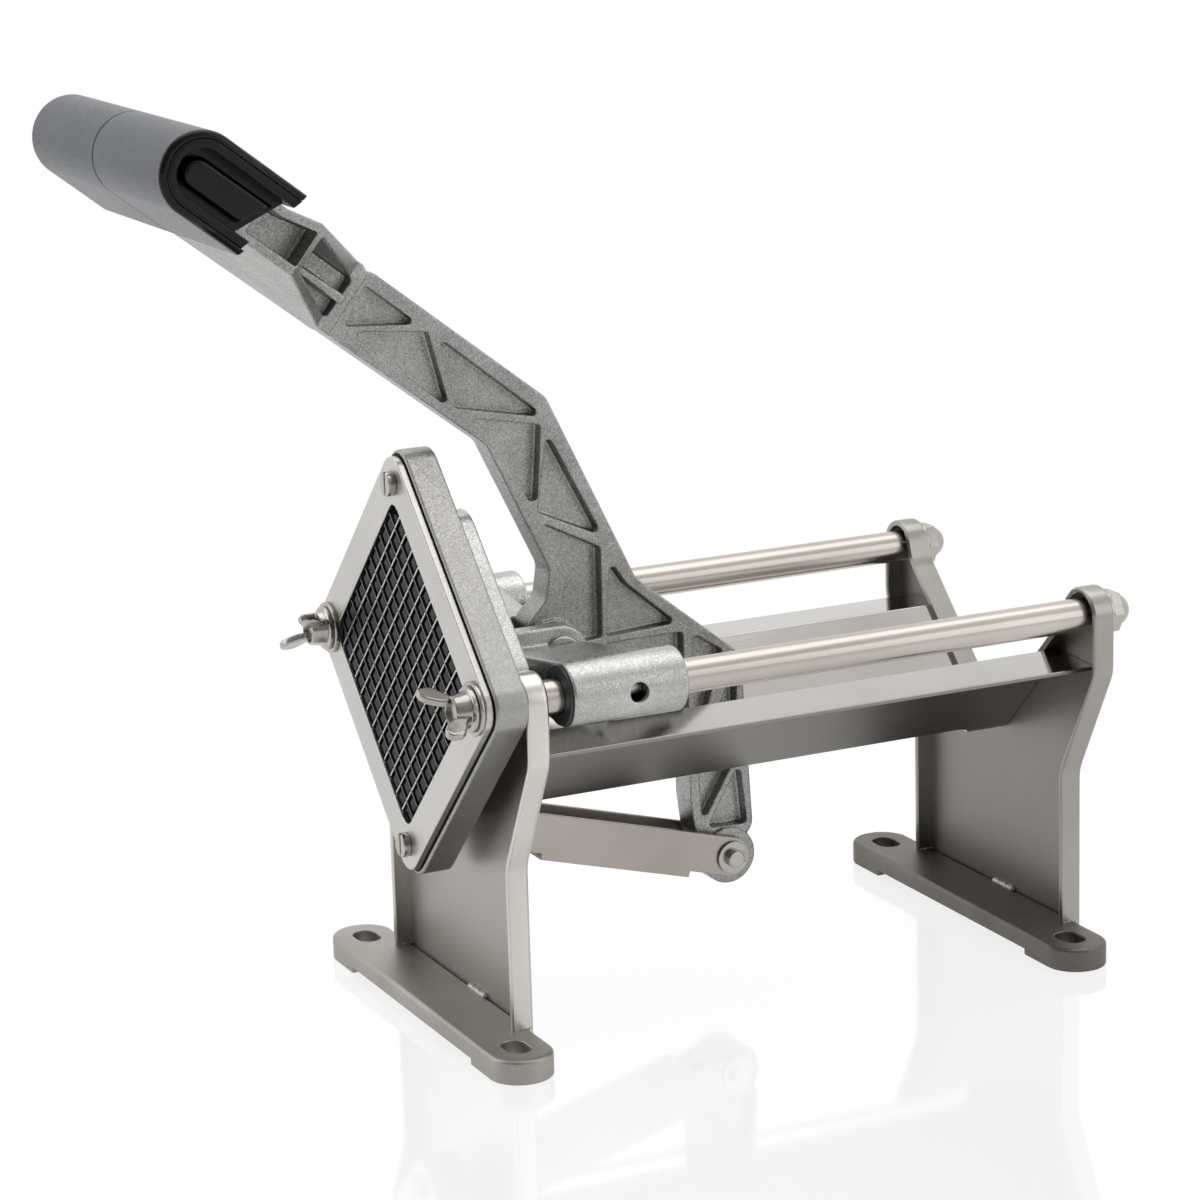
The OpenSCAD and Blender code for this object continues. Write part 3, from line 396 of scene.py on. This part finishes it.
# The rear foot takes the darker copy of the finish: painted shade
for node, bar in (("front_foot", bar_steel), ("rear_foot", rear_bar_steel_painted_shade)):
    middle = (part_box(node)[0].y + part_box(node)[1].y) / (2 * MM)
    bm = skin_of(node)
    soften(bm, UPPER_ROUND, 3, pick=lambda m: m.z > FOOT_TOP - 0.1 and (
        abs(m.y - middle) > SLOT_ROOM or abs(m.x) > SLOT_OUTER or abs(m.x) < SLOT_INNER))
    soften(bm, BURR_ROUND, 2, least=40.0, pick=lambda m: m.z < FOOT_TOP - 0.1 or (
        abs(m.y - middle) < SLOT_ROOM and abs(m.x) < SLOT_OUTER))
    place(node + "_skin", bm, BODY_OF[node], SLOT_OF[node], [bar], node)

# %% [markdown]
# Each end plate is pressed: the rim is folded forwards over a die, so the outer corner
# at the back has a wide round and the front edge of the rim only a small one. Every face
# but the flat front of the web gets a lighter, smoother copy of the sheet finish by its
# place, a painted reflection of the bright room. Where the rear rim runs up to each ear,
# the solid keeps two hair-thin slits, up to 0.5 mm wide.
# Moving their corners onto the neighbouring ones and merging them closes both. The
# rounds stop short of the narrow places beside the ears, where they would overlap.

# %% End plates
FOLD_ROUND, RIM_ROUND = 2.2, 0.8
# Where an ear's inner side leaves the V, and where the V meets the trough, as |x|, z
EAR_X, EAR_Z = 51.0, 115.5
TROUGH_X, TROUGH_Z = 45.6, 105.0
SLIT_ROOM = 0.05
# Corners of each slit as |x|, z, and where they go
SLITS = ((((49.80, 118.20), (49.80, 121.35)), (50.25, 121.04)),
         (((51.80, 118.20), (51.80, 121.35)), (51.63, 119.16)))


def close_slits(bm):
    for v in bm.verts:
        for corners, goal in SLITS:
            if any(math.hypot(abs(v.co.x) / MM - x, v.co.z / MM - z) < SLIT_ROOM for x, z in corners):
                v.co.x = math.copysign(goal[0] * MM, v.co.x)
                v.co.z = goal[1] * MM
    before = len(bm.verts)
    bmesh.ops.remove_doubles(bm, verts=bm.verts, dist=SLIT_ROOM * MM)
    print("slit corners merged", before - len(bm.verts))


# The rear plate takes the darker copies of the finishes: painted shade
for node, web, finishes in (("front_plate", FRONT_WEB, [web_sheet, front_rim_sheet_painted_reflection]),
                            ("rear_plate", REAR_WEB, [rear_web_sheet_painted_shade, rear_rim_painted_light])):
    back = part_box(node)[1].y / MM
    bm = skin_of(node)
    if node == "rear_plate":
        close_slits(bm)
    rim = web - RIM_DEPTH
    off_ear = far_from(((EAR_X, back, EAR_Z, 9.0), (ROD_X, back, ROD_HEIGHT, 6.0)))
    soften(bm, FOLD_ROUND, 4, pick=lambda m: m.y > back - 0.01 and m.z > FOOT_TOP + 0.5 and off_ear(m))
    clear = far_from(((EAR_X, rim, EAR_Z, 7.0), (TROUGH_X, rim, TROUGH_Z, 3.0)))
    soften(bm, RIM_ROUND, 3, least=40.0, free=20,
           pick=lambda m: m.y < rim + 0.1 and m.z > FOOT_TOP + 0.5 and clear(m))
    # Faces off the flat front of the web take the lighter copy: painted reflection
    for face in bm.faces:
        flat_web = abs(face.normal.y) > 0.98 and face.calc_center_median().y / MM > web - 0.2
        face.material_index = 0 if flat_web else 1
    place(node + "_skin", bm, BODY_OF[node], SLOT_OF[node], finishes, node)

# %% [markdown]
# A short weld bead holds each plate to its foot in the middle, and a drop of weld sits
# where each rim meets the foot. A bead is a row of melted scallops: overlapping ball
# shapes, flattened, each laid a little further on.

# %% Weld beads
def bead(name, start, step, count, size_mm):
    bm = bmesh.new()
    for k in range(count):
        at = Vector(start) + Vector(step) * k
        wobble = 1.0 + 0.10 * math.sin(2.1 * k)
        scale = Matrix.Diagonal((size_mm[0] * wobble, size_mm[1], size_mm[2] * wobble, 1.0))
        bmesh.ops.create_icosphere(bm, subdivisions=3, radius=MM, matrix=Matrix.Translation(at * MM) @ scale)
    place(name, bm, "stand", "bar_steel", [cleaned_weld], sharp=60.0)


cleaned_weld = brushed("cleaned_weld_bead", "#a5a29d", "#b8b5b0", 0.38, 0.06, (0.8, 0.8, 0.8), 0.30)
SCALLOP_STEP = 1.5
RIM_INSIDE = 47.2
for name, web, start_x in (("front", FRONT_WEB, 4.0), ("rear", REAR_WEB, -2.0)):
    bead(name + "_weld", (start_x, web - 0.2, FOOT_TOP + 0.1), (SCALLOP_STEP, 0.0, 0.0), 8, (1.6, 1.5, 1.4))
    for side, sign in (("_left", -1), ("_right", 1)):
        bead(name + side + "_rim_weld", (sign * RIM_INSIDE, web - 4.2, FOOT_TOP),
             (0.0, SCALLOP_STEP, 0.0), 4, (1.2, 1.3, 0.9))

# %% [markdown]
# The trough is one sheet with a V and two flanges. Faces that look up or to the ends are the
# mirror side, and the others, mostly looking down, are the satin outside, painted darker as shade.

# %% Trough
bm = skin_of("trough")
soften(bm, 0.3, 2)
for face in bm.faces:
    face.material_index = 0 if face.normal.z > 0.1 or abs(face.normal.y) > 0.9 else 1
place("trough_skin", bm, "stand", SLOT_OF["trough"], [trough_mirror, outside_of_trough_painted_shade], "trough")

# %% [markdown]
# The guide rods step down to threaded studs at both ends. The stud faces are found by
# their distance from the rod axis and get the thread.

# %% Guide rods
# The distances from the axis between which only an M8 stud has its faces
STUD_FROM, STUD_TO = 3.2, 4.2
for node, x in (("left_guide_rod", -ROD_X), ("right_guide_rod", ROD_X)):
    bm = skin_of(node)
    soften(bm, 0.6, 2, least=40.0)
    for face in bm.faces:
        centre = face.calc_center_median() / MM
        far = math.hypot(centre.x - x, centre.z - ROD_HEIGHT)
        face.material_index = 1 if STUD_FROM < far < STUD_TO and abs(face.normal.y) < 0.3 else 0
    place(node + "_skin", bm, "stand", SLOT_OF[node], [rod_steel, thread_steel], node)

# %% [markdown]
# Nuts and washers are forged or stamped and then plated, so their edges are softened a
# little. Their solids have the right hexagons and domes already.

# %% Nuts, washers and screws
for node in ("rod_jam_nuts", "rear_washers", "cap_nuts", "cover_screws"):
    dressed(node, plated, 0.35)
dressed("front_washers", plated, 0.45, 3)

# %% [markdown]
# The frame casting is smoother than the lever, because it comes out of a metal mould.
# Its front edge is rounded, and its front face, seen only as a thin margin beside the cover
# plate, is painted near black as shade, which draws a thin black line round the cover.

# %% Blade frame and cover
# Past this sum of the distances across and up from the middle, only the outer edges lie
OUTER_EDGES = 62.0
bm = skin_of("blade_frame")
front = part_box("blade_frame")[0].y / MM
soften(bm, 0.9, 3, pick=lambda m: abs(m.x) + abs(m.z - ROD_HEIGHT) > OUTER_EDGES, free=150)
# The frame's front face, a thin margin beside the cover, is painted near black as shade
for face in bm.faces:
    face.material_index = 1 if face.normal.y < -0.99 and face.calc_center_median().y / MM < front + 0.1 else 0
place("blade_frame_skin", bm, "stand", SLOT_OF["blade_frame"], [frame_alloy, cover_seam_painted_shade], "blade_frame")
dressed("blade_cover", cover_sheet, 0.45, 3)

# %% [markdown]
# The link bracket and its pin sit behind the front plate, seen from behind and below.

# %% Link bracket
dressed("link_bracket", link_sheet, 0.3)
dressed("front_link_pin", plated, 0.3)

# %% [markdown]
# The blades are too thin to need rounding, so their solids stay. The rising blades get the
# ground finish; the falling ones lie half hidden in their slots and get a darker copy of it, painted shade.

# %% Blades
for node, finish in (("rising_blades", blade_steel), ("falling_blades", falling_blade_painted_shade)):
    frame["nodes"][node].data.materials.clear()
    frame["nodes"][node].data.materials.append(finish)
print("blades", blade_steel.name, falling_blade_painted_shade.name)

# %% [markdown]
# A wing nut is pressed from thick strip. The hub is a lathe shape, so it is spun from a
# profile. Each wing is a flat paddle that leans forwards: one outline is drawn, pushed
# to its thickness, and rounded.

# %% Wing nuts
HUB_PROFILE = ((4.05, 0.0), (7.0, 0.0), (7.3, 0.35), (7.3, 1.1), (6.9, 1.5), (5.9, 1.7), (5.5, 3.4), (5.1, 6.0),
               (4.7, 6.5), (4.3, 6.6), (4.05, 6.3))
WING_OUTLINE = ((3.4, 1.2), (5.4, 1.5), (8.0, 4.2), (12.2, 6.6), (13.7, 8.2), (13.8, 11.2), (12.6, 12.7),
                (10.2, 12.8), (7.4, 11.0), (5.2, 8.0), (4.6, 6.2), (3.4, 6.2))
WING_THICK, WING_ROUND = 2.6, 0.9


def wing_nut(node, side, lean_degrees):
    bm = bmesh.new()
    ring = [bm.verts.new((r * MM, -v * MM, 0.0)) for r, v in HUB_PROFILE]
    edges = [bm.edges.new(pair) for pair in zip(ring, ring[1:] + ring[:1])]
    bmesh.ops.spin(bm, geom=ring + edges, cent=(0, 0, 0), axis=(0, 1, 0), angle=2 * math.pi, steps=40, use_merge=True)
    for s in (-1, 1):
        points = [bm.verts.new((s * u * MM, -v * MM, -WING_THICK / 2 * MM)) for u, v in WING_OUTLINE]
        face = bm.faces.new(points)
        grown = bmesh.ops.extrude_face_region(bm, geom=[face])
        top = [g for g in grown["geom"] if isinstance(g, bmesh.types.BMVert)]
        bmesh.ops.translate(bm, verts=top, vec=(0, 0, WING_THICK * MM))
        rim = [e for e in bm.edges if all(v in top for v in e.verts) or all(v in points for v in e.verts)]
        bmesh.ops.bevel(bm, geom=rim, offset=WING_ROUND * MM, offset_type="OFFSET", segments=3, profile=0.5,
                        affect="EDGES", clamp_overlap=True, material=-1)
    bmesh.ops.recalc_face_normals(bm, faces=bm.faces)
    at = Matrix.Translation(Vector((side * ROD_X, COVER_FRONT - 1.5, ROD_HEIGHT)) * MM)
    bmesh.ops.transform(bm, matrix=at @ Matrix.Rotation(math.radians(lean_degrees), 4, "Y"), verts=bm.verts)
    place(node + "_skin", bm, BODY_OF[node], SLOT_OF[node], [plated], node, sharp=35.0)


wing_nut("left_wing_nut", -1, -34.0)
wing_nut("right_wing_nut", 1, 18.0)

# %% [markdown]
# The pusher block is moulded nylon. Each of its fingers ends in a small chamfer that
# leads it into its cell, and the flat ends between the chamfers are a lighter grey.

# %% Pusher block
bm = skin_of("pusher_block")
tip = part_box("pusher_block")[0].y / MM
soften(bm, 0.75, 2, least=40.0, pick=lambda m: m.y < tip + 0.01)
for face in bm.faces:
    face.material_index = 1 if face.normal.y < -0.98 and face.calc_center_median().y / MM < tip + 0.01 else 0
place("pusher_block_skin", bm, "pusher", SLOT_OF["pusher_block"], [black_nylon, lighter_nylon_ends], "pusher_block")

# %% [markdown]
# The carriage is one sand casting: plate, arms, sleeves and the clevis for the lever.
# Castings have generous rounds, since sharp corners tear in the mould. In a few crowded
# corners, where several short edges meet, a round would fold over, so they stay sharp.

# %% Carriage
CROWDED_CORNERS = (
    (13.3, -54.0, 120.0, 4.0), (13.3, -82.0, 112.0, 3.0), (28.5, -63.2, 124.0, 4.0), (28.0, -81.7, 111.5, 3.0),
    (42.0, -53.6, 125.9, 3.0), (42.0, -53.6, 109.3, 3.0), (13.3, -64.0, 111.5, 6.0), (15.7, -58.0, 122.0, 3.0))
dressed("carriage", carriage_alloy, 0.8, 3, least=30.0, free=100, spots=CROWDED_CORNERS)
dressed("sleeve_bushings", bush_acetal, 0.5, 2, least=40.0)
dressed("pusher_screws", plated, 0.3)
dressed("lever_pivot_pin", plated, 0.8, 3)

# %% [markdown]
# The lever is cast in one piece, with a pocket between every pair of ribs on both sides.
# The rounds along the ribs catch the light and draw them as bright lines. Points that
# crowd the ribs of the arm are merged first, so that no short edge holds a round back.

# %% Lever
ARM_ENDS_Y = -110.0
CROWDED_SPOTS = ((5.5, -51.1, 109.5, 4.5), (5.5, 4.5, 47.0, 5.0), (5.5, -122.0, 239.6, 5.0),
                 (8.0, -133.9, 234.3, 1.5), (2.4, -132.6, 228.0, 5.0), (5.5, -62.0, 174.0, 2.5))
bm = skin_of("lever", 0.02)
bmesh.ops.remove_doubles(bm, verts=[v for v in bm.verts if v.co.y > ARM_ENDS_Y * MM], dist=0.12 * MM)
bmesh.ops.dissolve_limit(bm, angle_limit=JOIN_ANGLE, verts=bm.verts, edges=bm.edges)
soften(bm, 0.65, 3, 30.0, far_from(CROWDED_SPOTS), free=150)
place("lever_skin", bm, BODY_OF["lever"], SLOT_OF["lever"], [cast_alloy], "lever")

# %% [markdown]
# The handle's own axes run down the arm (y) and square to it (n). Pieces for the grip
# are drawn in them, and one matrix turns them to their place on both sides.

# %% Handle axes
HANDLE_FORWARD, HANDLE_RISE = 129.3, 169.0
HANDLE_AT = PIVOT + Vector((0.0, -HANDLE_FORWARD, HANDLE_RISE))
HANDLE_TILT = math.radians(-38.3)
to_handle = Matrix.Translation(HANDLE_AT * MM) @ Matrix.Rotation(HANDLE_TILT, 4, "X")


def grip_loop(radius, long, short, steps=18):
    """The U of a grip layer: the long upper leg, the round front and the short lower leg."""
    round_front = [(radius * math.sin(a), radius * math.cos(a))
                   for a in [-math.pi * k / steps for k in range(steps + 1)]]
    return [(long, radius)] + round_front + [(short, -radius)]


print("handle axis in mm", tuple(round(v, 1) for v in HANDLE_AT))

# %% [markdown]
# The grip is a grey vinyl sleeve over a black rubber liner. At its ends the sleeve rolls
# in over the liner, and both look black there, so the faces past the roll are black.

# %% Grip sleeves and liners
SLEEVE_END, ROLL_X, LINER_END = 60.0, 58.95, 59.5
SLEEVE_RADIUS_LEAST = 12.0
from_handle = to_handle.inverted()


def on_outer_end(m):
    """True for the middle of an edge on the outer end of the sleeve, given in mm."""
    at = from_handle @ (m * MM) / MM
    out = abs(at.z) if at.y > 0 else math.hypot(at.y, at.z)
    return abs(m.x) > SLEEVE_END and out > SLEEVE_RADIUS_LEAST


for node in ("left_grip", "right_grip"):
    bm = skin_of(node)
    soften(bm, 1.6, 4, least=40.0, pick=on_outer_end, free=1)
    soften(bm, 0.5, 2, least=40.0, pick=lambda m: abs(m.x) < 0.3)
    for face in bm.faces:
        face.material_index = 1 if abs(face.calc_center_median().x) / MM > ROLL_X else 0
    place(node + "_skin", bm, "handle", SLOT_OF[node], [grip_skin, liner_rubber], node, sharp=50.0)
    bm = skin_of(node + "_liner")
    soften(bm, 0.6, 3, least=40.0, pick=lambda m: abs(m.x) > LINER_END)
    place(node + "_liner_skin", bm, "handle", SLOT_OF[node + "_liner"], [liner_rubber], node + "_liner")

# %% [markdown]
# Inside the end of each liner the rubber bulges over the end of the cast bar. The bulge
# is a U-shaped slab whose outer edge is rounded widely, and a thin raised line runs
# round the rim outside it.

# %% Ends of the liner
def filled_u(name, outline, x0, x1, round_mm, sign):
    bm = bmesh.new()
    face = bm.faces.new([bm.verts.new((x0 * MM, y * MM, n * MM)) for y, n in outline])
    grown = bmesh.ops.extrude_face_region(bm, geom=[face])
    top = [g for g in grown["geom"] if isinstance(g, bmesh.types.BMVert)]
    bmesh.ops.translate(bm, verts=top, vec=((x1 - x0) * MM, 0, 0))
    rim = [e for e in bm.edges if all(v in top for v in e.verts)]
    bmesh.ops.bevel(bm, geom=rim, offset=round_mm * MM, offset_type="OFFSET", segments=4, profile=0.5,
                    affect="EDGES", clamp_overlap=True, material=-1)
    if sign < 0:
        bmesh.ops.scale(bm, vec=(-1, 1, 1), verts=bm.verts)
    bmesh.ops.recalc_face_normals(bm, faces=bm.faces)
    bmesh.ops.transform(bm, matrix=to_handle, verts=bm.verts)
    place(name, bm, "handle", "liner_rubber", [liner_rubber], sharp=60.0)


bowl = grip_loop(5.0, 25.0, 18.0)
ridge = grip_loop(9.9, 28.4, 20.6) + grip_loop(8.9, 28.4, 20.6)[::-1]
for side, sign in (("left", -1), ("right", 1)):
    filled_u(side + "_liner_bulge", bowl, 51.8, 56.8, 2.0, sign)
    filled_u(side + "_liner_ridge", ridge, 59.6, 60.45, 0.3, sign)

# %% [markdown]
# Inside the pocket behind the grip runs a short stiffening rib on each side of the web.
# It is cast with the lever, so it has the lever's finish and rides on the same body.

# %% Rib in the pocket of the handle
RIB_SIZE = Vector((9.0, 31.0, 3.0))
RIB_AT = Vector((8.0, 61.8, -0.6))
for side, sign in (("left", -1), ("right", 1)):
    bm = bmesh.new()
    bmesh.ops.create_cube(bm, size=1.0, matrix=Matrix.Diagonal(RIB_SIZE * MM).to_4x4())
    bmesh.ops.translate(bm, verts=bm.verts, vec=Vector((RIB_AT.x * sign, RIB_AT.y, RIB_AT.z)) * MM)
    bmesh.ops.bevel(bm, geom=list(bm.edges), offset=0.9 * MM, offset_type="OFFSET", segments=3, profile=0.5,
                    affect="EDGES", clamp_overlap=True, material=-1)
    bmesh.ops.transform(bm, matrix=to_handle, verts=bm.verts)
    place(side + "_pocket_rib", bm, "handle", "cast_alloy", [cast_alloy])

# %% [markdown]
# The link is a folded channel with a headed pin and a spring clip through its rear end.

# %% Link, pin and clip
dressed("link_channel", link_sheet, 0.5, 2)
dressed("rear_link_pin", plated, 0.6, 3, least=40.0)
dressed("link_pin_clip", plated, 0.2)

# %% [markdown]
# The studio is a white floor that runs out of sight, a white world behind it, and large
# soft lamps. The photograph shows a faint mirror image of the feet and hardly any shadow,
# as on white glass. So the floor glows for rays that come from the camera, and less for
# rays that a metal sends down, keeps a share of the real shadow, and carries a thin
# glossy layer.

# %% Floor
FLOOR_HALF, FLOOR_DROP = 14.0, 0.0002
GLOW, CAMERA_SHARE, MIRROR_SHARE, GLASS_SHARE = 1.04, 0.90, 0.55, 0.13
floor_finish = bpy.data.materials.new("white_glass_floor")
floor_finish.use_nodes = True
tree = floor_finish.node_tree
tree.nodes.clear()
lit = add(tree, "ShaderNodeBsdfDiffuse", {"Color": tint("#f2f2f2")})
glow = add(tree, "ShaderNodeEmission", {"Color": tint("#ffffff"), "Strength": GLOW})
ray = add(tree, "ShaderNodeLightPath")
mirrored = add(tree, "ShaderNodeMath", {0: ray.outputs["Is Glossy Ray"], 1: MIRROR_SHARE}, operation="MULTIPLY")
share = add(tree, "ShaderNodeMath", {0: ray.outputs["Is Camera Ray"], 1: CAMERA_SHARE,
                                     2: mirrored.outputs["Value"]}, operation="MULTIPLY_ADD")
base = add(tree, "ShaderNodeMixShader", {0: share.outputs["Value"], 1: lit.outputs["BSDF"],
                                         2: glow.outputs["Emission"]})
gloss = add(tree, "ShaderNodeBsdfGlossy", {"Color": tint("#ffffff"), "Roughness": 0.06})
coated = add(tree, "ShaderNodeMixShader", {0: GLASS_SHARE, 1: base.outputs["Shader"], 2: gloss.outputs["BSDF"]})
add(tree, "ShaderNodeOutputMaterial", {"Surface": coated.outputs["Shader"]})
bm = bmesh.new()
bmesh.ops.create_grid(bm, x_segments=1, y_segments=1, size=FLOOR_HALF)
floor_mesh = bpy.data.meshes.new("floor")
bm.to_mesh(floor_mesh)
bm.free()
floor_mesh.materials.append(floor_finish)
floor = bpy.data.objects.new("floor", floor_mesh)
floor.location.z = -FLOOR_DROP
bpy.context.scene.collection.objects.link(floor)
print("floor half width in m", FLOOR_HALF)

# %% [markdown]
# Bare metal shows what stands around it. The world is white behind and above the cutter
# and darker on the side where the photographer stands, as a real room is. The camera
# itself always sees it white.

# %% World
DARK_SIDE, DARKEST = (0.72, -0.68, 0.05), 0.22
world = bpy.data.worlds.new("studio")
bpy.context.scene.world = world
world.use_nodes = True
tree = world.node_tree
tree.nodes.clear()
ray = add(tree, "ShaderNodeLightPath")
aim = add(tree, "ShaderNodeTexCoord").outputs["Generated"]
toward = add(tree, "ShaderNodeVectorMath", {0: aim, 1: DARK_SIDE}, operation="DOT_PRODUCT")
room = add(tree, "ShaderNodeMapRange", {"Value": toward.outputs["Value"], "From Min": -0.2, "From Max": 0.85,
                                        "To Min": 1.0, "To Max": DARKEST})
level_grey = add(tree, "ShaderNodeCombineColor", {"Red": room.outputs["Result"], "Green": room.outputs["Result"],
                                                  "Blue": room.outputs["Result"]})
light = add(tree, "ShaderNodeBackground", {"Color": level_grey.outputs["Color"], "Strength": 1.0})
seen = add(tree, "ShaderNodeBackground", {"Color": grey(1.0), "Strength": 1.0})
both = add(tree, "ShaderNodeMixShader", {0: ray.outputs["Is Camera Ray"], 1: light.outputs["Background"],
                                         2: seen.outputs["Background"]})
add(tree, "ShaderNodeOutputWorld", {"Surface": both.outputs["Shader"]})
print("world", world.name)

# %% [markdown]
# Three softboxes stand above, to the front left and to the right. Large lamps close to
# the object give metal its broad, soft highlights.

# %% Lamps
def softbox(name, at_mm, aim_mm, size_mm, watts):
    lamp = bpy.data.objects.new(name, bpy.data.lights.new(name, "AREA"))
    lamp.data.shape = "RECTANGLE"
    lamp.data.size = size_mm[0] * MM
    lamp.data.size_y = size_mm[1] * MM
    lamp.data.energy = watts
    at = Vector(at_mm) * MM
    facing = (Vector(aim_mm) * MM - at).to_track_quat("-Z", "Y").to_matrix().to_4x4()
    lamp.matrix_world = Matrix.Translation(at) @ facing
    bpy.context.scene.collection.objects.link(lamp)
    print(name, watts, "W")


softbox("top_softbox", (-150, 150, 1400), (0, 0, 100), (1400, 1400), 7)
softbox("left_softbox", (-700, -1300, 700), (0, 0, 120), (900, 1100), 4)
softbox("right_softbox", (1300, 900, 700), (0, 50, 100), (700, 1000), 2)

# %% [markdown]
# The plain Standard view shows colours about as they were written.

# %% Colour management
bpy.context.scene.view_settings.view_transform = "Standard"
print("view", bpy.context.scene.view_settings.view_transform)
